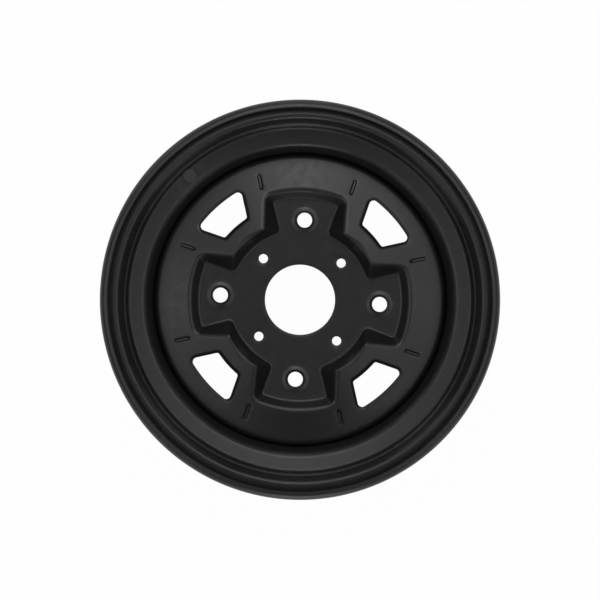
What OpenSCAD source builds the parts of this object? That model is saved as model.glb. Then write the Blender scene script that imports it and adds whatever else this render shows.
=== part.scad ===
// Steel wheel rim: a rolled rim, a pressed disc and the weld beads that join them.
// Millimetres. The wheel spins about +Z and its outboard face looks up.
// z = 0 is the back of the disc's flat pad, which bolts against the hub.

/* [Rim] */
// Outermost radius, over the rolled lip
rim_r = 172.2; // [170:0.1:175]
// Width between the two faces that hold the tyre beads
rim_width = 152.4; // [148:0.2:158]
// Distance from the mounting face to the outboard bead face
outset = 50.8; // [48:0.1:53]
// Thickness of the rim's sheet
rim_t = 2.5; // [2.2:0.1:2.8]
// Outer radius of the rolled lip
lip_r = 6.45; // [6:0.05:7]
// Slope of the flange, which falls outwards
flange_deg = 13; // [11:0.5:15]
// Inside radius of the bead seat, next to the flange
seat_r = 155.75; // [155:0.05:156.5]
// Inside radius of the bead seat, at its far end
seat_end_r = 151.8; // [151.4:0.05:152.2]
// Axial length of the bead seat
seat_len = 23.25; // [22:0.05:24.5]
// Radial width of the small ledge that follows the bead seat
ledge_w = 2.4; // [2.1:0.05:2.6]
// Axial fall of that ledge
ledge_fall = 1.45; // [1.2:0.05:1.7]
// Axial length of the wall below the ledge
ledge_wall = 5; // [4.4:0.1:5.6]
// Inside radius where that wall meets the shelf
shelf_out_r = 147.3; // [146.8:0.05:147.6]
// Inside radius where the shelf turns down into the well
shelf_in_r = 131.8; // [131.2:0.05:132.4]
// Fall of the shelf from its outer edge to the well
shelf_fall = 2.6; // [2:0.1:3.2]
// Inside radius of the well, which the disc is pressed into
well_r = 126.4; // [125.9:0.1:126.9]
// Axial depth of the well's sloping side
well_side = 18; // [16.8:0.1:19.2]

/* [Valve hole] */
// Diameter of the valve hole
valve_d = 11.5; // [11:0.1:12]
// Radius at which the valve hole sits
valve_at_r = 142.6; // [141.5:0.1:143]
// Angle of the valve hole about the spin axis
valve_deg = 135; // [130:1:140]

/* [Disc] */
// Thickness of the disc's plate
disc_t = 3.5; // [3.2:0.1:3.8]
// Fall of the crown's cone, from the hub outwards
crown_deg = 18; // [17:0.5:19]
// Height of the crown at the edge of the recess
crown_z = 20.2; // [19.4:0.1:21]
// Rounding of the disc's outer shoulder
shoulder_r = 8; // [7:0.1:9]
// Depth of the skirt's edge below the mounting face
skirt_z = 20; // [18:0.1:22]

/* [Pressed recess] */
// Floor radius between the lobes
floor_hub_r = 60.7; // [60:0.1:61]
// Floor radius at the end of each lobe
floor_end_r = 87.4; // [87.1:0.1:88]
// Half width of a lobe's floor at the neck
floor_neck = 20.2; // [20:0.1:21.4]
// Half width of a lobe's floor at its end
floor_end = 28.5; // [27.4:0.1:28.8]
// Rim radius of the recess between the lobes
top_hub_r = 68; // [67.4:0.1:68.6]
// Rim radius of the recess at the end of each lobe
top_end_r = 94.5; // [94:0.1:95.2]
// Half width of each lobe at its rim
top_half = 34.5; // [34:0.1:35]
// Fillet at the foot of the recess wall
foot_r = 3.4; // [2.8:0.1:4]
// Rounding at the brow of the recess wall
brow_r = 5; // [4.6:0.1:5.2]

/* [Hub holes] */
// Diameter of the centre bore
bore_d = 60.2; // [58:0.1:63]
// Bolt circle of the lug holes
lug_pcd = 137; // [135:0.1:139]
// Diameter of the lug holes
lug_d = 12.8; // [12.4:0.1:13.6]
// Outside diameter of the raised lug seats
lug_seat_d = 21.7; // [20.5:0.1:23]
// Height of the raised lug seats
lug_seat_h = 0.95; // [0.6:0.05:1.3]
// Circle of the four small holes
inner_pcd = 94.7; // [92:0.1:97]
// Diameter of the small holes
inner_d = 7.8; // [7:0.1:9]

/* [Windows and slots] */
// Inner radius of a window
win_in_r = 83.7; // [83.2:0.1:84.4]
// Outer radius of a window
win_out_r = 106.9; // [106:0.1:107.8]
// Half width of a window at its inner edge
win_half = 12.65; // [12:0.05:13.4]
// Lean of a window's sides from its centre line
win_lean = 29.2; // [27:0.1:31]
// Rounding of the window edges
win_round = 3.5; // [2.8:0.1:3.7]
// Length of a pressed slot
slot_len = 14; // [12:0.1:15]
// Width of a pressed slot
slot_w = 3.3; // [2.6:0.1:4]
// Depth of a pressed slot
slot_depth = 1.4; // [0.8:0.1:1.6]
// Radius of a slot's middle
slot_r = 107; // [106:0.1:108]
// Angle of a slot from the lug axis
slot_deg = 22; // [21:0.1:23]
// Lean of a slot from the lug axis
slot_lean = 15.5; // [13:0.1:18]

/* [Welds] */
// Angle that each weld bead spans
weld_deg = 62; // [40:1:74]
// Leg of a weld bead along the well
weld_leg = 4.5; // [3.5:0.1:5.5]
// Bulge of a weld bead's face
weld_bulge = 0.6; // [0.3:0.1:1]

/* [Hidden] */
$fn = 96;
lugs = 4;
step = 360 / lugs;
// facets in each rounded corner of a path
corner_n = 4;
rim_mid = outset - rim_width / 2;
skirt_r = well_r;
// vertical thickness of the sloping crown
crown_t = disc_t / cos(crown_deg);
steel = [0.13, 0.13, 0.135];
weld_steel = [0.17, 0.17, 0.17];

// Plane geometry
function unit(v) = v / norm(v);
function turned(v, a) = [v.x * cos(a) - v.y * sin(a), v.x * sin(a) + v.y * cos(a)];
function sweep(a, b) = atan2(a.x * b.y - a.y * b.x, a * b);
function flipped(p) = [for (i = [len(p) - 1:-1:0]) p[i]];

// Arc of radius r that rounds the corner b on the way from a to c
function corner(a, b, c, r, n = corner_n) =
    let (
        u = unit(a - b),
        w = unit(c - b),
        half = acos(u * w) / 2,
        mid = b + unit(u + w) * r / sin(half),
        start = b + u * r / tan(half) - mid,
        turn = sweep(start, b + w * r / tan(half) - mid)
    )
    [for (i = [0:n]) mid + turned(start, turn * i / n)];

// Open path through the corners p, each rounded to its radius in r
function rounded(p, r) = [
    for (i = [0:len(p) - 1])
        each (r[i] == 0 ? [p[i]] : corner(p[i - 1], p[i], p[i + 1], r[i]))
];

// Point i of a path moved sideways by d, so that a sheet keeps its thickness
function beside(p, i, d) =
    let (
        last = len(p) - 1,
        e = unit(p[max(i, 1)] - p[max(i, 1) - 1]),
        f = unit(p[min(i, last - 1) + 1] - p[min(i, last - 1)])
    )
    p[i] + d * ([-e.y, e.x] + [-f.y, f.x]) / (1 + e * f);

// Outline of a sheet of thickness t bent along the path p
function sheet(p, t) = concat(
    [for (i = [0:len(p) - 1]) beside(p, i, t / 2)],
    [for (i = [len(p) - 1:-1:0]) beside(p, i, -t / 2)]
);

// Rim section, as the middle line of its sheet from the lip to the well
lip_mid_r = lip_r - rim_t / 2;
flange_z = rim_width / 2 + rim_t / 2;
seat_z = flange_z - seat_len;
ledge_z = seat_z - ledge_fall;
shelf_z = ledge_z - ledge_wall;
flange_run = rim_r - lip_r - lip_mid_r * sin(flange_deg) - seat_r - rim_t / 2;
lip_at = [rim_r - lip_r, flange_z - flange_run * tan(flange_deg) + lip_mid_r * cos(flange_deg)];
// point i of the curl, which runs from the cut edge round to the flange
curl_n = 13;
function curl(i) =
    let (a = 90 - (180 + flange_deg) * i / curl_n)
    lip_at + lip_mid_r * [cos(a), sin(a)];
rim_corners = [
    curl(curl_n),
    [seat_r + rim_t / 2, flange_z],
    [seat_end_r + rim_t / 2, seat_z],
    [seat_end_r - ledge_w + rim_t / 2, ledge_z],
    [shelf_out_r + rim_t / 2, shelf_z],
    [shelf_in_r + rim_t / 2, shelf_z - shelf_fall],
    [well_r + rim_t / 2, shelf_z - shelf_fall - well_side],
    [well_r + rim_t / 2, 0]
];
rim_bends = [0, 2.75, 2.25, rim_t / 2 + 0.1, 4.75, 6.25, 8, 0];
lip_path = [for (i = [0:curl_n - 1]) curl(i)];
half_path = concat(lip_path, rounded(rim_corners, rim_bends));
rear_path = [for (i = [len(half_path) - 2:-1:0]) [half_path[i].x, -half_path[i].y]];
rim_path = concat(half_path, rear_path);

// One rolled sheet, bent the same way on both sides of its well
module rim_barrel() {
    color(steel)
    difference() {
        translate([0, 0, rim_mid])
        rotate_extrude()
        polygon(sheet(rim_path, rim_t));
        rotate([0, 0, valve_deg])
        translate([valve_at_r, 0, rim_mid + shelf_z - shelf_fall - 6])
        cylinder(d = valve_d, h = 16);
    }
}

// Front of the crown at radius r
function crown(r) = crown_z - (r - top_hub_r) * tan(crown_deg);

// Half outline of the lobed recess, from a lobe's middle to midway between two lobes
function half_lobe(hub, end, neck, tip, neck_r, tip_r) =
    let (
        b = [sqrt(end * end - tip * tip), tip],
        c = [sqrt(hub * hub - neck * neck), neck],
        at_tip = corner(b + 10 * unit([b.y, -b.x]), b, c, tip_r),
        at_neck = corner(b, c, c + 10 * unit([-c.y, c.x]), neck_r),
        tip_a = atan2(at_tip[0].y, at_tip[0].x),
        neck_a = atan2(at_neck[corner_n].y, at_neck[corner_n].x)
    )
    concat(
        [for (i = [0:2]) turned([end, 0], tip_a * i / 3)],
        at_tip,
        at_neck,
        [for (i = [1:3]) turned([hub, 0], neck_a + (step / 2 - neck_a) * i / 3)]
    );

// The whole outline, with a lobe at every lug
function lobes(h) = [
    for (k = [0:lugs - 1])
        each concat(
            [for (i = [len(h) - 2:-1:1]) turned([h[i].x, -h[i].y], k * step)],
            [for (p = h) turned(p, k * step)]
        )
];

// Ring on the recess floor that has a point for each point of the outline, n in half a lobe
function hub_ring(r, n) = lobes([
    for (i = [0:n])
        turned([r, 0], step / 2 * (i / n) * (0.25 + 0.75 * i / n))
]);

// Slope of the recess wall between two radii, and how far the sheet's back lies outside its front
function wall_deg(foot, brow) = atan2(crown(brow) - disc_t, brow - foot);
function foot_shift(w) = disc_t * tan(w / 2);
function brow_shift(w) = disc_t * (sin(w) - sin(crown_deg)) / (1 + cos(w + crown_deg));
hub_deg = wall_deg(floor_hub_r, top_hub_r);
end_deg = wall_deg(floor_end_r, top_end_r);
foot_front = lobes(half_lobe(floor_hub_r, floor_end_r, floor_neck, floor_end, 4.3, 3.2));
brow_front = lobes(half_lobe(top_hub_r, top_end_r, top_half, top_half, 2.6, 6.9));
foot_back = lobes(half_lobe(
    floor_hub_r + foot_shift(hub_deg), floor_end_r + foot_shift(end_deg),
    floor_neck + foot_shift(end_deg), floor_end + foot_shift(end_deg), 2.6, 4.6
));
brow_back = lobes(half_lobe(
    top_hub_r + brow_shift(hub_deg), top_end_r + brow_shift(end_deg),
    top_half + brow_shift(end_deg), top_half + brow_shift(end_deg), 1.4, 8
));

// Wall of the recess in the upright plane through foot point f and brow point b
function wall_section(f, b, z, drop, r_foot, r_brow) =
    let (
        h = unit(b - f),
        far = b + 5 * h,
        reach = norm(b - f),
        // sunk a little, so that the brow crosses the crown at a clear angle
        top = -drop - 0.02,
        path = rounded(
            [[-9, z], [0, z], [reach, crown(norm(b)) + top], [reach + 5, crown(norm(far)) + top]],
            [0, r_foot, r_brow, 0]
        ),
        last = len(path) - 2,
        over = path[last] + 2.4 * unit(path[last + 1] - path[last]) + [0, 0.3]
    )
    [
        for (p = concat([for (i = [1:last]) path[i]], [over, [over.x, 60]]))
            [f.x + h.x * p.x, f.y + h.y * p.x, p.y]
    ];

// Closed solid skinned through equal rings of points, each ring running anticlockwise
module skin(rings) {
    m = len(rings);
    n = len(rings[0]);
    ends = [[0, 0, rings[0][0].z], [0, 0, rings[m - 1][0].z]];
    polyhedron(
        points = concat([for (r = rings) each r], ends),
        faces = concat(
            [for (j = [0:m - 2], i = [0:n - 1])
                [j * n + i, (j + 1) * n + i, (j + 1) * n + (i + 1) % n, j * n + (i + 1) % n]],
            [for (i = [0:n - 1]) [m * n, i, (i + 1) % n]],
            [for (i = [0:n - 1]) [m * n + 1, (m - 1) * n + (i + 1) % n, (m - 1) * n + i]]
        )
    );
}

// Space inside the recess, lofted from its foot outline up to its brow outline
module recess(foot, brow, z, drop, r_foot, r_brow) {
    walls = [
        for (i = [0:len(foot) - 1])
            wall_section(foot[i], brow[i], z, drop, r_foot, r_brow)
    ];
    hub = hub_ring(bore_d * 0.6, len(foot) / lugs / 2);
    skin(concat(
        [[for (p = hub) [p.x, p.y, z]]],
        [for (j = [0:len(walls[0]) - 1]) [for (w = walls) w[j]]]
    ));
}

// Solid under one face of the disc before the recess is pressed into it
module crown_form(r, drop, round, bottom) {
    top_r = floor_hub_r - 6;
    rotate_extrude()
    polygon(rounded(
        [[0, bottom], [r, bottom], [r, crown(r) - drop], [top_r, crown(top_r) - drop], [0, crown(top_r) - drop]],
        [0, 0, round, 0, 0]
    ));
}

// The pressed plate: its front form less its back form
module pressing() {
    difference() {
        crown_form(skirt_r, 0, shoulder_r, -skirt_z);
        recess(foot_front, brow_front, disc_t, 0, foot_r, brow_r);
        difference() {
            crown_form(skirt_r - disc_t, crown_t, shoulder_r - disc_t, -skirt_z - 5);
            recess(foot_back, brow_back, 0, crown_t, foot_r + disc_t, brow_r - disc_t);
        }
    }
}

// Half of a window's outline, moved outwards by d
function half_window(d) =
    let (
        along = [cos(win_lean), sin(win_lean)],
        base = [sqrt(win_in_r * win_in_r - win_half * win_half), win_half] + d * [-along.y, along.x],
        inner = win_in_r - d,
        outer = win_out_r + d,
        dot = base * along,
        gap = base * base,
        b = base + along * (-dot + sqrt(dot * dot - gap + inner * inner)),
        c = base + along * (-dot + sqrt(dot * dot - gap + outer * outer)),
        at_in = corner(b + 10 * unit([b.y, -b.x]), b, c, 2.4 + d),
        at_out = corner(b, c, c + 10 * unit([c.y, -c.x]), 3.8 + d),
        in_a = atan2(at_in[0].y, at_in[0].x),
        out_a = atan2(at_out[corner_n].y, at_out[corner_n].x)
    )
    concat(
        [for (i = [0:1]) turned([inner, 0], in_a * i / 2)],
        at_in,
        at_out,
        [for (i = [3:-1:0]) turned([outer, 0], out_a * i / 4)]
    );

// Whole outline of a window, anticlockwise
function window_outline(d) =
    let (h = half_window(d))
    concat([for (p = flipped(h)) p], [for (i = [1:len(h) - 2]) [h[i].x, -h[i].y]]);

// Cutter for one window, flared so that it rounds the edge of the sloping crown
module window_cutter() {
    flare = [
        for (a = [0:20:80])
            [win_round * (1 - cos(a)), win_round * (sin(a) - 1)]
    ];
    brow = [win_round * 1.06, 0.12];
    mid = (win_in_r + win_out_r) / 2;
    translate([mid, 0, 0])
    skin([
        for (ring = concat([[0, -40]], flare, [brow, [brow.x, 40]]))
            [for (p = window_outline(ring.x))
                [p.x - mid, p.y, abs(ring.y) == 40 ? ring.y : crown(norm(p)) + ring.y]]
    ]);
}

// Cutter for one pressed slot, square to the crown
module slot_cutter(side) {
    rotate([0, 0, side * slot_deg])
    translate([slot_r, 0, crown(slot_r)])
    rotate([0, crown_deg, 0])
    rotate([0, 0, side * (slot_lean - slot_deg)])
    translate([0, 0, -slot_depth])
    linear_extrude(6)
    union() {
        square([slot_len - slot_w, slot_w], center = true);
        for (s = [-1, 1]) {
            translate([s * (slot_len - slot_w) / 2, 0])
            circle(d = slot_w);
        }
    }
}

// Raised seat around one lug hole
module lug_seat() {
    translate([lug_pcd / 2, 0, disc_t - 0.5])
    cylinder(d1 = lug_seat_d + 3.5, d2 = lug_seat_d - 6.6, h = lug_seat_h + 0.5);
}

// Lug hole with the cone that centres its nut
module lug_hole() {
    seat_top = disc_t + lug_seat_h;
    translate([lug_pcd / 2, 0, -1]) {
        cylinder(d = lug_d, h = seat_top + 2);
        translate([0, 0, 1 + seat_top - 2.2])
        cylinder(d1 = lug_d, d2 = lug_d + 3.6, h = 2.75);
    }
}

// One pressed plate with its bore, lug holes, windows and slots
module wheel_disc() {
    color(steel)
    difference() {
        union() {
            pressing();
            for (k = [0:lugs - 1]) {
                rotate([0, 0, k * step])
                lug_seat();
            }
        }
        translate([0, 0, -1])
        cylinder(d = bore_d, h = disc_t + 2);
        for (k = [0:lugs - 1]) {
            rotate([0, 0, k * step]) {
                lug_hole();
                slot_cutter(1);
                slot_cutter(-1);
            }
            rotate([0, 0, (k + 0.5) * step]) {
                translate([inner_pcd / 2, 0, -1])
                cylinder(d = inner_d, h = disc_t + 2);
                window_cutter();
            }
        }
    }
}

// Fillet beads in the corner between the skirt's edge and the well
module weld_beads() {
    foot = [skirt_r, -skirt_z - weld_leg];
    toe = [skirt_r - disc_t + 0.3, -skirt_z];
    out = unit([-weld_leg, -(disc_t - 0.3)]);
    face = [
        for (i = [0:6])
            foot + (toe - foot) * i / 6 + out * weld_bulge * sin(180 * i / 6)
    ];
    color(weld_steel)
    for (k = [0:lugs - 1]) {
        rotate([0, 0, k * step - weld_deg / 2])
        rotate_extrude(angle = weld_deg)
        polygon(concat([[skirt_r, -skirt_z]], face));
    }
}

rim_barrel();
wheel_disc();
weld_beads();
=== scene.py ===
import math

import bmesh
import bpy
import numpy as np
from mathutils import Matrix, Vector
from mathutils.geometry import delaunay_2d_cdt


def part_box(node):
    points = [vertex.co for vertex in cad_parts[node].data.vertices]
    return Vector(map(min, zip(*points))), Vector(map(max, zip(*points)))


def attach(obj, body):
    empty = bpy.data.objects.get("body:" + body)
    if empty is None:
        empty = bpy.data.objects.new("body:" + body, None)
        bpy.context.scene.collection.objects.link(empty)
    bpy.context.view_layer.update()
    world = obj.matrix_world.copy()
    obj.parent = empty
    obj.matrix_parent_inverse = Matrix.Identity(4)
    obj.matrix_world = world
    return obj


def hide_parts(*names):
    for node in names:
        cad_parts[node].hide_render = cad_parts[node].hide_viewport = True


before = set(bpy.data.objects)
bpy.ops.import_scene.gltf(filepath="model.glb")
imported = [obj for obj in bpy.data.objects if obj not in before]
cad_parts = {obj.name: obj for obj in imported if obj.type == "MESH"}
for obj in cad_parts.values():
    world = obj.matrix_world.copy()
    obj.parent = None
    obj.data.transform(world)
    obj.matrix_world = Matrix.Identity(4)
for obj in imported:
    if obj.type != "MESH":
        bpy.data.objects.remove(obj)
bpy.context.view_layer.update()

# Sizes in millimetres, the same as in the part's source
MM = 0.001
RIM_R, RIM_T, LIP_R = 172.2, 2.5, 6.45
RIM_WIDTH, OUTSET, FLANGE_DEG = 152.4, 50.8, 13
SEAT_R, SEAT_END_R, SEAT_LEN = 155.75, 151.8, 23.25
LEDGE_W, LEDGE_FALL, LEDGE_WALL = 2.4, 1.45, 5
SHELF_OUT_R, SHELF_IN_R, SHELF_FALL = 147.3, 131.8, 2.6
WELL_R, WELL_SIDE = 126.4, 18
VALVE_D, VALVE_AT_R, VALVE_DEG = 11.5, 142.6, 135
# bends of the rim's sheet, in their order from the flange down to the well
FLANGE_BEND, SEAT_BEND, LEDGE_BEND = 2.75, 2.25, RIM_T / 2 + 0.1
SHELF_OUT_BEND, SHELF_IN_BEND, WELL_BEND = 4.75, 6.25, 8

DISC_T, CROWN_DEG, CROWN_Z = 3.5, 18, 20.2
SHOULDER_R, SKIRT_Z = 8, 20
FLOOR_HUB_R, FLOOR_END_R, FLOOR_NECK, FLOOR_END = 60.7, 87.4, 20.2, 28.5
TOP_HUB_R, TOP_END_R, TOP_HALF = 68, 94.5, 34.5
FOOT_R, BROW_R = 3.4, 5
# corners of the recess outlines, at the neck and at the tip of a lobe
FLOOR_CORNERS, TOP_CORNERS = (4.3, 3.2), (2.6, 6.9)
BACK_FLOOR_CORNERS, BACK_TOP_CORNERS = (2.6, 4.6), (1.4, 8)
BORE_D, LUG_PCD, LUG_D = 60.2, 137, 12.8
LUG_SEAT_D, LUG_SEAT_H = 21.7, 0.95
INNER_PCD, INNER_D = 94.7, 7.8
WIN_IN_R, WIN_OUT_R, WIN_HALF, WIN_LEAN, WIN_ROUND = 83.7, 106.9, 12.65, 29.2, 3.5
WIN_IN_CORNER, WIN_OUT_CORNER = 2.4, 3.8
SLOT_LEN, SLOT_W, SLOT_DEPTH = 14, 3.3, 1.4
SLOT_R, SLOT_DEG, SLOT_LEAN = 107, 22, 15.5
WELD_DEG, WELD_LEG, WELD_BULGE = 62, 4.5, 0.6
LUGS = 4
STEP = 360 / LUGS

# Small forms that only the scene has, in millimetres
LIP_BREAK, VALVE_BREAK, HOLE_BREAK, SKIRT_BREAK = 0.35, 0.3, 0.35, 0.4
LUG_CONE_W = 1.5
# side of a pressed slot, as steps outwards from its outline and up from the crown
SLOT_STEPS = [
    (0.22, 0),
    (0.06, -0.06),
    (-0.1, -0.25),
    (-0.42, -0.85),
    (-0.72, -1.25),
    (-0.98, -SLOT_DEPTH),
]
# ripples of a weld bead: their pitch, how far they trail at its sides, and their swell
RIPPLE, RIPPLE_TRAIL = 1.9, 0.35
SWELL_LOW, SWELL_RISE, SWELL_POWER = 0.72, 0.42, 0.6
SWELL_IN, SWELL_DOWN = 0.8, 0.6
BEAD_LEG_IN, BEAD_TAPER, BEAD_END = DISC_T - 0.3, 4.0, 0.02

# Fineness of the meshes
AROUND = 288
CORNER = 9
VALVE_AROUND, LUG_AROUND, BORE_AROUND, INNER_AROUND = 48, 64, 144, 48
BEAD_SECTIONS, BEAD_POINTS = 420, 9
# grid points nearer than this to an edge are left out, in millimetres
EDGE_GAP = 0.8
# points nearer than this are joined, and edges shorter than this go, in metres
SAME_POINT, SHORT_EDGE = 3e-6, 1e-7


# Plane geometry
def unit(v):
    return v / np.linalg.norm(v)


def turned(p, deg):
    c, s = math.cos(math.radians(deg)), math.sin(math.radians(deg))
    p = np.asarray(p, float)
    return np.stack([p[..., 0] * c - p[..., 1] * s, p[..., 0] * s + p[..., 1] * c], -1)


def corner(a, b, c, r, n=CORNER):
    """Arc of radius r that rounds the corner b on the way from a to c."""
    u, w = unit(a - b), unit(c - b)
    half = math.acos(float(np.clip(u @ w, -1, 1))) / 2
    mid = b + unit(u + w) * r / math.sin(half)
    start = b + u * r / math.tan(half) - mid
    end = b + w * r / math.tan(half) - mid
    turn = math.degrees(math.atan2(start[0] * end[1] - start[1] * end[0], start @ end))
    return [mid + turned(start, turn * i / n) for i in range(n + 1)]


def rounded(points, radii, n=CORNER):
    """Open path through the points, each corner rounded to its radius."""
    p = [np.array(q, float) for q in points]
    out = []
    for i, r in enumerate(radii):
        out += corner(p[i - 1], p[i], p[i + 1], r, n) if r else [p[i]]
    return np.array(out)


def clockwise(p):
    """A point clockwise from p, square to its radius."""
    return p + 10 * unit(np.array([p[1], -p[0]]))


def anticlockwise(p):
    """A point anticlockwise from p, square to its radius."""
    return p + 10 * unit(np.array([-p[1], p[0]]))


def eased_arc(r, end, n):
    """n points from (r, 0) round towards end, on a radius that eases over to end's."""
    deg = math.degrees(math.atan2(end[1], end[0]))
    more = np.linalg.norm(end) - r
    return [turned((r + more * f * f, 0), deg * f) for f in np.arange(n) / n]


def between(a, b, n):
    """The points that cut the line from a to b into n steps, without its ends."""
    return [a + (b - a) * i / n for i in range(1, n)]


def beside(path, d):
    """The path moved sideways by d, so that a sheet keeps its thickness."""
    e = np.diff(path, axis=0)
    e = e / np.linalg.norm(e, axis=1)[:, None]
    before = np.vstack([e[:1], e])
    after = np.vstack([e, e[-1:]])
    n = np.stack([-before[:, 1] - after[:, 1], before[:, 0] + after[:, 0]], 1)
    return path + d * n / (1 + (before * after).sum(1))[:, None]


def broken(r, z, dr, dz):
    """Three points that break the corner at (r, z), by dr along r and by dz along z."""
    return [(r + dr, z), (r + dr * 0.3, z + dz * 0.3), (r, z + dz)]


def circle(r, n, at=(0, 0)):
    a = np.arange(n) * 2 * math.pi / n
    return np.stack([at[0] + r * np.cos(a), at[1] + r * np.sin(a)], 1)


def polar_grid(r0, r1, pitch):
    """Points about pitch apart on circles from r0 to r1, every other circle half a step on."""
    points = []
    for row, r in enumerate(np.arange(r0, r1, pitch * 0.87)):
        n = int(2 * math.pi * r / pitch)
        a = (np.arange(n) + 0.5 * (row % 2)) * 2 * math.pi / n
        points.append(np.stack([r * np.cos(a), r * np.sin(a)], 1))
    return np.vstack(points)


def inside(points, loop):
    """Which points lie inside the closed loop."""
    x, y = points[:, 0], points[:, 1]
    hit = np.zeros(len(points), bool)
    for (x1, y1), (x2, y2) in zip(loop, np.roll(loop, -1, axis=0)):
        crosses = (y1 > y) != (y2 > y)
        if abs(y2 - y1) > 1e-12:
            hit ^= crosses & (x < (x2 - x1) * (y - y1) / (y2 - y1) + x1)
    return hit


# From the plane to space
def lift(xy, z):
    z = np.broadcast_to(np.asarray(z, float), (len(xy),))
    return np.column_stack([xy, z])


def revolve(rz, n=AROUND):
    """A ring about the spin axis for each (r, z)."""
    a = np.arange(n) * 2 * math.pi / n
    return [np.stack([r * np.cos(a), r * np.sin(a), np.full(n, z)], 1) for r, z in rz]


# A surface put together from strips and filled regions
class Skin:
    def __init__(self):
        self.points, self.faces, self.count = [], [], 0

    def add(self, points):
        self.points.append(np.asarray(points, float))
        first = self.count
        self.count += len(points)
        return first

    def strips(self, rings, closed=True):
        """Quads between each ring of points and the next."""
        n = len(rings[0])
        first = self.add(np.vstack(rings))
        last = n if closed else n - 1
        for j in range(len(rings) - 1):
            a, b = first + j * n, first + (j + 1) * n
            for i in range(last):
                k = (i + 1) % n
                self.faces.append((a + i, a + k, b + k, b + i))

    def cap(self, ring):
        """One face over a closed ring."""
        first = self.add(ring)
        self.faces.append(tuple(range(first, first + len(ring))))

    def fill(self, outer, holes, grid, height):
        """Triangles between an outer loop and its holes, over extra grid points."""
        loops = [outer] + list(holes)
        edge = np.vstack(loops)
        keep = inside(grid, outer)
        for hole in holes:
            keep &= ~inside(grid, hole)
        grid = grid[keep]
        if len(grid):
            gap = np.array([np.min(np.hypot(*(edge - g).T)) for g in grid])
            grid = grid[gap > EDGE_GAP]
        edges, start = [], 0
        for loop in loops:
            n = len(loop)
            edges += [(start + i, start + (i + 1) % n) for i in range(n)]
            start += n
        every = np.vstack([edge, grid])
        verts, _, tris, *_ = delaunay_2d_cdt([Vector(p) for p in every], edges, [], 0, 1e-7)
        flat = np.array([(v.x, v.y) for v in verts])
        tris = np.array([tuple(t) for t in tris])
        middle = flat[tris].mean(1)
        keep = inside(middle, outer)
        for hole in holes:
            keep &= ~inside(middle, hole)
        first = self.add(height(flat))
        self.faces += [tuple(first + int(i) for i in t) for t in tris[keep]]

    def build(self, name, sharp_deg=32):
        """A smooth mesh object, with the edges that turn by more than sharp_deg kept sharp."""
        mesh = bpy.data.meshes.new(name)
        mesh.from_pydata((np.vstack(self.points) * MM).tolist(), [], self.faces)
        bm = bmesh.new()
        bm.from_mesh(mesh)
        bmesh.ops.remove_doubles(bm, verts=bm.verts, dist=SAME_POINT)
        bmesh.ops.dissolve_degenerate(bm, edges=bm.edges, dist=SHORT_EDGE)
        bmesh.ops.recalc_face_normals(bm, faces=bm.faces)
        limit = math.radians(sharp_deg)
        for f in bm.faces:
            f.smooth = True
        for e in bm.edges:
            if len(e.link_faces) == 2 and e.calc_face_angle(0) > limit:
                e.smooth = False
        bm.to_mesh(mesh)
        bm.free()
        obj = bpy.data.objects.new(name, mesh)
        bpy.context.scene.collection.objects.link(obj)
        return obj


# Rolled rim
def rim_sheet():
    """Inside and outside lines of the rim's section, from lip to lip, as (r, z)."""
    t = RIM_T / 2
    mid_r = LIP_R - t
    slope = math.radians(FLANGE_DEG)
    flange_z = RIM_WIDTH / 2 + t
    seat_z = flange_z - SEAT_LEN
    ledge_z = seat_z - LEDGE_FALL
    shelf_z = ledge_z - LEDGE_WALL
    well_top_z = shelf_z - SHELF_FALL
    run = RIM_R - LIP_R - mid_r * math.sin(slope) - SEAT_R - t
    lip = np.array([RIM_R - LIP_R, flange_z - run * math.tan(slope) + mid_r * math.cos(slope)])
    angles = np.radians(np.linspace(90, -90 - FLANGE_DEG, 24))
    curl = lip + mid_r * np.stack([np.cos(angles), np.sin(angles)], 1)
    bends = rounded(
        [
            curl[-1],
            (SEAT_R + t, flange_z),
            (SEAT_END_R + t, seat_z),
            (SEAT_END_R - LEDGE_W + t, ledge_z),
            (SHELF_OUT_R + t, shelf_z),
            (SHELF_IN_R + t, well_top_z),
            (WELL_R + t, well_top_z - WELL_SIDE),
            (WELL_R + t, 0),
        ],
        [0, FLANGE_BEND, SEAT_BEND, LEDGE_BEND, SHELF_OUT_BEND, SHELF_IN_BEND, WELL_BEND, 0],
    )
    half = np.vstack([curl[:-1], bends])
    path = np.vstack([half, half[-2::-1] * [1, -1]])
    path[:, 1] += OUTSET - RIM_WIDTH / 2
    return beside(path, -t), beside(path, t)


# The valve hole sits in a patch of the sheet, filled in the sheet's own flat coordinates
PATCH_COLUMNS = 5
PATCH_REACH = VALVE_D / 2 + 2.2
PATCH_GRID = 17


def to_sheet(s, deg):
    """Flat coordinates of what lies s along the section and deg round from the hole."""
    return np.column_stack([s, np.radians(deg) * VALVE_AT_R])


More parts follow.
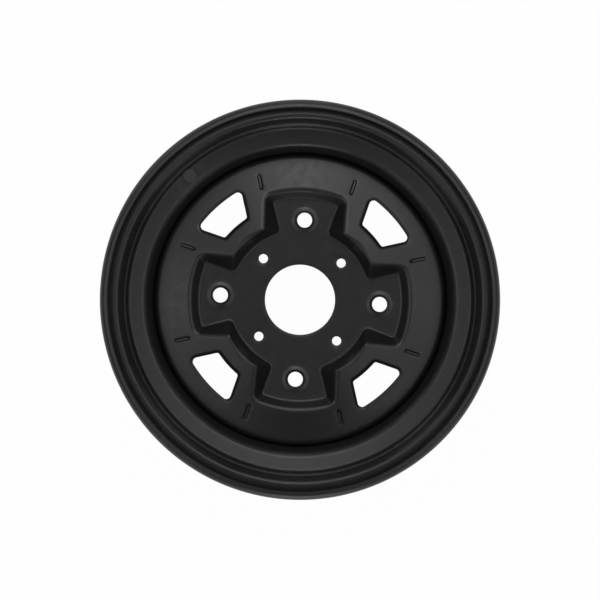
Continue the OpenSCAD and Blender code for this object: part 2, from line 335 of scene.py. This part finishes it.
def valve_patch(skin, line, first, last, inward):
    """Fill the patch between two rows of the section, and return the rings of its hole."""
    length = np.concatenate([[0], np.cumsum(np.hypot(*np.diff(line, axis=0).T))])
    span = slice(first, last + 1)
    s_line, r_line, z_line = length[span], line[span, 0], line[span, 1]
    columns = 360 / AROUND * np.arange(-PATCH_COLUMNS, PATCH_COLUMNS + 1)

    def to_space(flat):
        a = flat[:, 1] / VALVE_AT_R + math.radians(VALVE_DEG)
        r = np.interp(flat[:, 0], s_line, r_line)
        z = np.interp(flat[:, 0], s_line, z_line)
        return np.column_stack([r * np.cos(a), r * np.sin(a), z])

    def hole_ring(radius, dz):
        p = circle(radius, VALVE_AROUND, (VALVE_AT_R, 0))
        r, a = np.hypot(p[:, 0], p[:, 1]), np.arctan2(p[:, 1], p[:, 0])
        flat = np.column_stack([np.interp(r, r_line[::-1], s_line[::-1]), a * VALVE_AT_R])
        a = a + math.radians(VALVE_DEG)
        z = np.interp(r, r_line[::-1], z_line[::-1]) + dz
        return flat, np.column_stack([r * np.cos(a), r * np.sin(a), z])

    border = np.vstack([
        to_sheet(np.full(len(columns), s_line[0]), columns),
        to_sheet(s_line[1:], np.full(len(s_line) - 1, columns[-1])),
        to_sheet(np.full(len(columns) - 1, s_line[-1]), columns[::-1][1:]),
        to_sheet(s_line[::-1][1:-1], np.full(len(s_line) - 2, columns[0])),
    ])
    inner_columns = np.linspace(columns[0], columns[-1], PATCH_GRID)[1:-1]
    grid_s, grid_deg = np.meshgrid(s_line[1:-1:2], inner_columns)
    flat, mouth = hole_ring(VALVE_D / 2 + VALVE_BREAK, 0)
    skin.fill(border, [flat], to_sheet(grid_s.ravel(), grid_deg.ravel()), to_space)
    return [mouth, hole_ring(VALVE_D / 2, inward)[1]]


def rim_barrel():
    skin = Skin()
    inner, outer = rim_sheet()
    after_patch = round(VALVE_DEG / 360 * AROUND) + PATCH_COLUMNS
    round_to_patch = [(after_patch + i) % AROUND for i in range(AROUND - 2 * PATCH_COLUMNS + 1)]
    hole = []
    for line, inward in ((inner, -VALVE_BREAK), (outer, VALVE_BREAK)):
        rings = revolve(line)
        outboard = range(len(line) // 2)
        rows = [j for j in outboard if abs(line[j, 0] - VALVE_AT_R) < PATCH_REACH]
        first, last = rows[0] - 1, rows[-1] + 1
        skin.strips(rings[: first + 1])
        skin.strips(rings[last:])
        # the band that the valve hole is in, all round but for the patch
        skin.strips([rings[j][round_to_patch] for j in range(first, last + 1)], closed=False)
        hole.append(valve_patch(skin, line, first, last, inward))
    skin.strips(hole[0] + hole[1][::-1])
    # the cut edges of the lips, with their corners just broken
    back = np.array([-LIP_BREAK, 0])
    for end in (0, -1):
        a, b = inner[end], outer[end]
        section = [a]
        for across, share in ((0.05, 0.6), (0.2, 1), (0.8, 1), (0.95, 0.6)):
            section.append(a + (b - a) * across + back * share)
        section.append(b)
        skin.strips(revolve(section))
    return skin.build("rim_skin")


# Pressed disc
TAN_CROWN = math.tan(math.radians(CROWN_DEG))
CROWN_T = DISC_T / math.cos(math.radians(CROWN_DEG))


def crown(xy):
    """Height of the crown's front over a point."""
    return CROWN_Z - (np.hypot(xy[..., 0], xy[..., 1]) - TOP_HUB_R) * TAN_CROWN


def half_lobe(hub, end, neck, tip, neck_r, tip_r):
    """Half outline of the recess, from a lobe's middle to midway between two lobes."""
    n = 12
    b = np.array([math.sqrt(end**2 - tip**2), tip])
    c = np.array([math.sqrt(hub**2 - neck**2), neck])
    at_tip = corner(clockwise(b), b, c, tip_r)
    at_neck = corner(b, c, anticlockwise(c), neck_r)
    out = eased_arc(end, at_tip[0], n)
    out += at_tip
    out += between(at_tip[-1], at_neck[0], 7)
    out += at_neck
    neck_deg = math.degrees(math.atan2(at_neck[-1][1], at_neck[-1][0]))
    more = np.linalg.norm(at_neck[-1]) - hub
    for f in np.arange(1, n + 1) / n:
        out.append(turned((hub + more * (1 - f) ** 2, 0), neck_deg + (STEP / 2 - neck_deg) * f))
    return np.array(out)


def lobes(h):
    """The whole outline, with a lobe at every lug."""
    one = np.vstack([h[-2:0:-1] * [1, -1], h])
    return np.vstack([turned(one, k * STEP) for k in range(LUGS)])


def shifts(foot, brow):
    """How far the sheet's back lies outside its front, at the wall's foot and brow."""
    rise = CROWN_Z - (brow - TOP_HUB_R) * TAN_CROWN - DISC_T
    w, c = math.atan2(rise, brow - foot), math.radians(CROWN_DEG)
    return DISC_T * math.tan(w / 2), DISC_T * (math.sin(w) - math.sin(c)) / (1 + math.cos(w + c))


def recess_wall(foot, brow, z, drop, r_foot, r_brow):
    """Rings of the recess wall from its floor up to the crown."""
    floor_run, crown_run = 9, 5
    sections = []
    for f, b in zip(foot, brow):
        h = unit(b - f)
        far, reach = b + crown_run * h, np.linalg.norm(b - f)
        path = rounded(
            [(-floor_run, z), (0, z), (reach, crown(b) - drop), (reach + crown_run, crown(far) - drop)],
            [0, r_foot, r_brow, 0],
            10,
        )[1:-1]
        xy = f + h * path[:, :1]
        sections.append(np.column_stack([xy, path[:, 1]]))
    rings = np.array(sections).transpose(1, 0, 2)
    rings[0, :, 2] = z
    rings[-1, :, 2] = crown(rings[-1, :, :2]) - drop
    return list(rings)


def recess():
    """Rings of the recess wall's front and of its back."""
    hub_foot, hub_brow = shifts(FLOOR_HUB_R, TOP_HUB_R)
    end_foot, end_brow = shifts(FLOOR_END_R, TOP_END_R)
    front = recess_wall(
        lobes(half_lobe(FLOOR_HUB_R, FLOOR_END_R, FLOOR_NECK, FLOOR_END, *FLOOR_CORNERS)),
        lobes(half_lobe(TOP_HUB_R, TOP_END_R, TOP_HALF, TOP_HALF, *TOP_CORNERS)),
        DISC_T, 0, FOOT_R, BROW_R,
    )
    back = recess_wall(
        lobes(half_lobe(
            FLOOR_HUB_R + hub_foot, FLOOR_END_R + end_foot,
            FLOOR_NECK + end_foot, FLOOR_END + end_foot, *BACK_FLOOR_CORNERS,
        )),
        lobes(half_lobe(
            TOP_HUB_R + hub_brow, TOP_END_R + end_brow,
            TOP_HALF + end_brow, TOP_HALF + end_brow, *BACK_TOP_CORNERS,
        )),
        0, CROWN_T, FOOT_R + DISC_T, BROW_R - DISC_T,
    )
    return front, back


def shoulder(r, drop, radius):
    """Section of the rounded shoulder, from the crown down to the skirt."""
    crown_run = 20
    z = crown(np.array([[r - crown_run, 0], [r, 0]])) - drop
    return list(rounded([(r - crown_run, z[0]), (r, z[1]), (r, -SKIRT_Z)], [0, radius, 0], 14)[1:-1])


def window_outline(d):
    """Outline of the window on +X, moved outwards by d."""
    lean = math.radians(WIN_LEAN)
    along = np.array([math.cos(lean), math.sin(lean)])
    base = np.array([math.sqrt(WIN_IN_R**2 - WIN_HALF**2), WIN_HALF])
    base = base + d * np.array([-along[1], along[0]])
    inner, outer = WIN_IN_R - d, WIN_OUT_R + d
    dot, gap = base @ along, base @ base
    b = base + along * (-dot + math.sqrt(dot**2 - gap + inner**2))
    c = base + along * (-dot + math.sqrt(dot**2 - gap + outer**2))
    at_in = corner(clockwise(b), b, c, WIN_IN_CORNER + d)
    at_out = corner(b, c, clockwise(c), WIN_OUT_CORNER + d)
    half = eased_arc(inner, at_in[0], 6)
    half += at_in
    half += between(at_in[-1], at_out[0], 6)
    half += at_out
    half += eased_arc(outer, at_out[-1], 10)[::-1]
    half = np.array(half)
    return np.vstack([half[::-1], half[1:-1] * [1, -1]])


def window(turn):
    """Rings of a window, whose edge rolls over from the crown into the hole."""
    rings = []
    for a in np.linspace(math.pi / 2, 0, 10):
        xy = window_outline(WIN_ROUND * (1 - math.cos(a)))
        rings.append(lift(turned(xy, turn), crown(xy) + WIN_ROUND * (math.sin(a) - 1)))
    xy = window_outline(0)
    rings.append(lift(turned(xy, turn), crown(xy) - CROWN_T))
    return rings


def slot_outline(side, d):
    """Outline of a pressed slot beside the lug on +X, moved outwards by d."""
    r, n = SLOT_W / 2 + d, 12
    straight = (SLOT_LEN - SLOT_W) / 2
    a = np.radians(np.arange(n + 1) * 180 / n - 90)
    end = np.stack([straight + r * np.cos(a), r * np.sin(a)], 1)
    sides = np.linspace(-1, 1, n)[1:-1] * straight
    upper = np.stack([sides[::-1], np.full(len(sides), r)], 1)
    loop = np.vstack([end, upper, -end, -upper])
    loop = turned(loop, side * (SLOT_LEAN - SLOT_DEG))
    loop = loop * [math.cos(math.radians(CROWN_DEG)), 1] + [SLOT_R, 0]
    return turned(loop, side * SLOT_DEG)


def slot(side, turn):
    """Rings of a pressed slot, from the crown down to its floor."""
    rings = []
    for d, dz in SLOT_STEPS:
        xy = slot_outline(side, d)
        rings.append(lift(turned(xy, turn), crown(xy) + dz))
    return rings


def plain_hole(r, n, at):
    """Rings of a hole through the pad, with broken edges."""
    steps = broken(r, DISC_T, HOLE_BREAK, -HOLE_BREAK)
    steps += broken(r, 0, HOLE_BREAK, HOLE_BREAK)[::-1]
    return [lift(circle(radius, n, at), z) for radius, z in steps]


def lug_hole(at):
    """Rings of a lug hole: its raised seat's foot and crest, the nut's cone and the back edge."""
    r, top = LUG_D / 2, DISC_T + LUG_SEAT_H
    seat, lip = r + LUG_CONE_W, LUG_SEAT_D / 2
    foot = [(lip + 1.1, DISC_T), (lip + 0.5, DISC_T + 0.07), (lip, DISC_T + 0.2)]
    crest = [(seat + 0.9, top - 0.06), (seat + 0.5, top), (seat + 0.2, top - 0.04)]
    cone = [(seat, top - 0.25), (r + 0.12, top - 2.0), (r, top - 2.35)]
    back_edge = [(r, HOLE_BREAK), (r + 0.1, 0.1), (r + HOLE_BREAK, 0)]
    steps = foot + crest + cone + back_edge
    return [lift(circle(radius, LUG_AROUND, at), z) for radius, z in steps]


def crown_front(p):
    return lift(p, crown(p))


def crown_back(p):
    return lift(p, crown(p) - CROWN_T)


def slot_floor(p):
    return lift(p, crown(p) - SLOT_DEPTH)


def pad_front(p):
    return lift(p, DISC_T)


def pad_back(p):
    return lift(p, 0)


def flat_loop(ring):
    return ring[:, :2]


def wheel_disc():
    skin = Skin()
    front, back = recess()
    skin.strips(front)
    skin.strips(back)

    # shoulder and skirt, from the crown round to the crown's back
    under_r = WELL_R - DISC_T
    outside = shoulder(WELL_R, 0, SHOULDER_R)
    under = shoulder(under_r, CROWN_T, SHOULDER_R - DISC_T)
    foot = broken(WELL_R, -SKIRT_Z, -SKIRT_BREAK, SKIRT_BREAK)[::-1]
    foot += broken(under_r, -SKIRT_Z, SKIRT_BREAK, SKIRT_BREAK)
    skin.strips(revolve(outside + foot + under[::-1]))

    # windows and pressed slots
    front_loops, back_loops = [flat_loop(front[-1])], [flat_loop(back[-1])]
    no_grid = np.empty((0, 2))
    for k in range(LUGS):
        rings = window((k + 0.5) * STEP)
        skin.strips(rings)
        front_loops.append(flat_loop(rings[0]))
        back_loops.append(flat_loop(rings[-1]))
        for side in (1, -1):
            rings = slot(side, k * STEP)
            skin.strips(rings)
            skin.fill(flat_loop(rings[-1]), [], no_grid, slot_floor)
            front_loops.append(flat_loop(rings[0]))

    # the crown itself, front and back
    crown_in, crown_out = 70, 121
    grid = polar_grid(crown_in, crown_out, 2)
    skin.fill(circle(outside[0][0], AROUND), front_loops, grid, crown_front)
    grid = polar_grid(crown_in, crown_out, 3)
    skin.fill(circle(under[0][0], AROUND), back_loops, grid, crown_back)

    # the flat pad and its holes
    holes = [plain_hole(BORE_D / 2, BORE_AROUND, (0, 0))]
    for k in range(LUGS):
        holes.append(lug_hole(turned((LUG_PCD / 2, 0), k * STEP)))
        inner_at = turned((INNER_PCD / 2, 0), (k + 0.5) * STEP)
        holes.append(plain_hole(INNER_D / 2, INNER_AROUND, inner_at))
    for rings in holes:
        skin.strips(rings)
    pad_in, pad_front_out, pad_back_out, pitch = 20, 90, 92, 5
    grid = polar_grid(pad_in, pad_front_out, pitch)
    skin.fill(flat_loop(front[0]), [flat_loop(h[0]) for h in holes], grid, pad_front)
    grid = polar_grid(pad_in, pad_back_out, pitch)
    skin.fill(flat_loop(back[0]), [flat_loop(h[-1]) for h in holes], grid, pad_back)
    return skin.build("disc_skin")


# Weld beads, rippled along their length and tapered at their ends
def bead_section(f, deg):
    """Closed section of a bead at the share f of its length, which lies at the angle deg."""
    length = math.radians(WELD_DEG) * WELL_R
    run = f * math.radians(WELD_DEG) * WELL_R
    near_end = min(run, length - run)
    size = math.sqrt(max(BEAD_END, 1 - max(0, 1 - near_end / BEAD_TAPER) ** 2))
    phase = (run / RIPPLE) % 1
    rz = []
    for j in range(BEAD_POINTS):
        g = j / (BEAD_POINTS - 1)
        lag = (phase + RIPPLE_TRAIL * (2 * g - 1) ** 2) % 1
        swell = WELD_BULGE * math.sin(math.pi * g) * (SWELL_LOW + SWELL_RISE * lag**SWELL_POWER)
        r = WELL_R - size * (BEAD_LEG_IN * g + swell * SWELL_IN)
        z = -SKIRT_Z - size * (WELD_LEG * (1 - g) + swell * SWELL_DOWN)
        rz.append((r, z))
    rz.append((WELL_R, -SKIRT_Z))
    c, s = math.cos(math.radians(deg)), math.sin(math.radians(deg))
    return np.array([(r * c, r * s, z) for r, z in rz])


def weld_beads():
    skin = Skin()
    for k in range(LUGS):
        rows = []
        for i in range(BEAD_SECTIONS + 1):
            f = i / BEAD_SECTIONS
            rows.append(bead_section(f, k * STEP + (f - 0.5) * WELD_DEG))
        skin.strips(rows)
        skin.cap(rows[0])
        skin.cap(rows[-1])
    return skin.build("weld_skin", 60)


# Material nodes
def nodes_of(owner):
    """Empty node tree of a material or world."""
    owner.use_nodes = True
    tree = owner.node_tree
    tree.nodes.clear()
    return tree


def link(tree, a, b):
    tree.links.new(a, b)


def noise(tree, scale, detail, rough=0.5):
    where = tree.nodes.new("ShaderNodeTexCoord")
    n = tree.nodes.new("ShaderNodeTexNoise")
    n.inputs["Scale"].default_value = scale
    n.inputs["Detail"].default_value = detail
    n.inputs["Roughness"].default_value = rough
    link(tree, where.outputs["Object"], n.inputs["Vector"])
    return n.outputs["Fac"]


def ramp(tree, value, low, high):
    """The middle of a noise's range, stretched to run from low to high."""
    m = tree.nodes.new("ShaderNodeMapRange")
    m.inputs["From Min"].default_value = 0.3
    m.inputs["From Max"].default_value = 0.7
    m.inputs["To Min"].default_value = low
    m.inputs["To Max"].default_value = high
    link(tree, value, m.inputs["Value"])
    return m.outputs["Result"]


def maths(tree, operation, a, b):
    """Math node of a link and a link or a number."""
    m = tree.nodes.new("ShaderNodeMath")
    m.operation = operation
    link(tree, a, m.inputs[0])
    if isinstance(b, float):
        m.inputs[1].default_value = b
    else:
        link(tree, b, m.inputs[1])
    return m.outputs["Value"]


def mixed(tree, share, first, second):
    """Shader that goes from the first to the second as share goes from 0 to 1."""
    mix = tree.nodes.new("ShaderNodeMixShader")
    link(tree, share, mix.inputs["Fac"])
    link(tree, first, mix.inputs[1])
    link(tree, second, mix.inputs[2])
    return mix.outputs["Shader"]


def seen_rays(tree):
    """1 for what the camera sees, directly, in a reflection or through glass."""
    path = tree.nodes.new("ShaderNodeLightPath")
    seen = maths(tree, "MAXIMUM", path.outputs["Is Camera Ray"], path.outputs["Is Glossy Ray"])
    return maths(tree, "MAXIMUM", seen, path.outputs["Is Transmission Ray"])


# Black paint, with a faint unevenness of tone and gloss and a fine orange peel
PAINT_DARK, PAINT_PALE = (0.0051, 0.0051, 0.0052, 1), (0.0071, 0.0071, 0.0072, 1)
PAINT_IOR, GLOSSIEST, DULLEST = 1.47, 0.39, 0.45
PEEL_STRENGTH, PEEL_HEIGHT = 0.05, 0.00025
# noise cells to a metre
TONE_SCALE, GLOSS_SCALE, PEEL_SCALE = 38, 160, 900


def black_paint():
    material = bpy.data.materials.new("black_paint")
    tree = nodes_of(material)
    out = tree.nodes.new("ShaderNodeOutputMaterial")
    paint = tree.nodes.new("ShaderNodeBsdfPrincipled")
    link(tree, paint.outputs["BSDF"], out.inputs["Surface"])
    paint.inputs["IOR"].default_value = PAINT_IOR
    tone = tree.nodes.new("ShaderNodeMix")
    tone.data_type = "RGBA"
    tone.inputs["A"].default_value = PAINT_DARK
    tone.inputs["B"].default_value = PAINT_PALE
    link(tree, noise(tree, TONE_SCALE, 5), tone.inputs["Factor"])
    link(tree, tone.outputs["Result"], paint.inputs["Base Color"])
    gloss = ramp(tree, noise(tree, GLOSS_SCALE, 4), GLOSSIEST, DULLEST)
    link(tree, gloss, paint.inputs["Roughness"])
    peel = tree.nodes.new("ShaderNodeBump")
    peel.inputs["Strength"].default_value = PEEL_STRENGTH
    peel.inputs["Distance"].default_value = PEEL_HEIGHT
    link(tree, noise(tree, PEEL_SCALE, 3, 0.6), peel.inputs["Height"])
    link(tree, peel.outputs["Normal"], paint.inputs["Normal"])
    return material


# White floor, and a dim room around it
FLOOR_WHITE, FLOOR_GREY = 0.98, 0.7
ROOM_GLOW, JUST_LEVEL = 0.01, 0.001


def floor_white():
    """Pale floor that is white to the camera and in reflections, with the wheel's shadow kept."""
    material = bpy.data.materials.new("floor_white")
    tree = nodes_of(material)
    out = tree.nodes.new("ShaderNodeOutputMaterial")
    matt = tree.nodes.new("ShaderNodeBsdfDiffuse")
    matt.inputs["Color"].default_value = (FLOOR_GREY, FLOOR_GREY, FLOOR_GREY, 1)
    glow = tree.nodes.new("ShaderNodeEmission")
    glow.inputs["Strength"].default_value = 1.0
    white = maths(tree, "MULTIPLY", seen_rays(tree), FLOOR_WHITE)
    surface = mixed(tree, white, matt.outputs["BSDF"], glow.outputs["Emission"])
    link(tree, surface, out.inputs["Surface"])
    return material


def background(tree, strength):
    node = tree.nodes.new("ShaderNodeBackground")
    node.inputs["Color"].default_value = (1, 1, 1, 1)
    node.inputs["Strength"].default_value = strength
    return node.outputs["Background"]


def studio_world():
    """Dim room whose lower half goes on as the white floor does."""
    world = bpy.data.worlds.new("studio")
    tree = nodes_of(world)
    out = tree.nodes.new("ShaderNodeOutputWorld")
    where = tree.nodes.new("ShaderNodeTexCoord")
    split = tree.nodes.new("ShaderNodeSeparateXYZ")
    link(tree, where.outputs["Generated"], split.inputs["Vector"])
    downward = maths(tree, "LESS_THAN", split.outputs["Z"], JUST_LEVEL)
    white = maths(tree, "MULTIPLY", seen_rays(tree), downward)
    surface = mixed(tree, white, background(tree, ROOM_GLOW), background(tree, 1.0))
    link(tree, surface, out.inputs["Surface"])
    return world


# Put the wheel together
paint = black_paint()
for make, node in ((rim_barrel, "rim_barrel"), (wheel_disc, "wheel_disc"), (weld_beads, "weld_beads")):
    piece = make()
    piece.data.materials.append(paint)
    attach(piece, "root")
    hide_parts(node)

# Floor, in metres as all that follows
FLOOR_SIZE = 12
lowest = min(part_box("rim_barrel")[0][2], 0)
bpy.ops.mesh.primitive_plane_add(size=FLOOR_SIZE, location=(0, 0, lowest))
floor = bpy.context.object
floor.name = "floor"
floor.data.materials.append(floor_white())

# The picture is turned a little about the view axis, which is the wheel's own
ROLL_DEG = 3.35
up = Vector((-math.sin(math.radians(ROLL_DEG)), math.cos(math.radians(ROLL_DEG)), 0))
right = Vector((up.y, -up.x, 0))

# Lights
BOX_SIZE, BOX_FAR = 0.7, 2.2


def softbox(name, around_deg, tilt_deg, watts):
    """Soft box around_deg clockwise from the picture's top and tilt_deg from the view axis."""
    around, tilt = math.radians(around_deg), math.radians(tilt_deg)
    side = up * math.cos(around) + right * math.sin(around)
    light = bpy.data.lights.new(name, "AREA")
    light.shape = "SQUARE"
    light.size = BOX_SIZE
    light.energy = watts
    obj = bpy.data.objects.new(name, light)
    obj.location = (side * math.sin(tilt) + Vector((0, 0, math.cos(tilt)))) * BOX_FAR
    obj.rotation_euler = (-obj.location).to_track_quat("-Z", "Y").to_euler()
    bpy.context.scene.collection.objects.link(obj)


# one soft box over the top of the picture, then a high and a low ring of them
OVER, HIGH, LOW = 24, 36, 76
for name, around_deg, tilt_deg, watts in (
    ("over", 0, OVER, 2.9),
    ("key", 0, HIGH, 11.4),
    ("key_right", 45, HIGH, 5.9),
    ("right", 90, HIGH, 5.4),
    ("fill_right", 135, HIGH, 4.7),
    ("fill_left", 225, HIGH, 4.0),
    ("left", 270, HIGH, 6.9),
    ("key_left", 315, HIGH, 2.5),
    ("low_back", 0, LOW, 3.8),
    ("low_back_right", 45, LOW, 2.2),
    ("low_right", 90, LOW, 1.5),
    ("low_front_right", 135, LOW, 4.1),
    ("low_front", 180, LOW, 11.5),
    ("low_front_left", 225, LOW, 3.6),
    ("low_left", 270, LOW, 1.2),
    ("low_back_left", 315, LOW, 4.6),
):
    softbox(name, around_deg, tilt_deg, watts)

bpy.context.scene.world = studio_world()

# Camera, straight above the wheel, whose middle is a little above the picture's
PICTURE, PIXEL = 600, 0.00086
WHEEL_ABOVE = 0.25
CAMERA_Z = 2.0
camera_data = bpy.data.cameras.new("camera")
camera_data.type = "ORTHO"
camera_data.ortho_scale = PICTURE * PIXEL
camera = bpy.data.objects.new("camera", camera_data)
camera.location = Vector((0, 0, CAMERA_Z)) - up * WHEEL_ABOVE * PIXEL
camera.rotation_euler = (0, 0, math.radians(ROLL_DEG))
bpy.context.scene.collection.objects.link(camera)
bpy.context.scene.camera = camera

bpy.context.scene.view_settings.view_transform = "Standard"
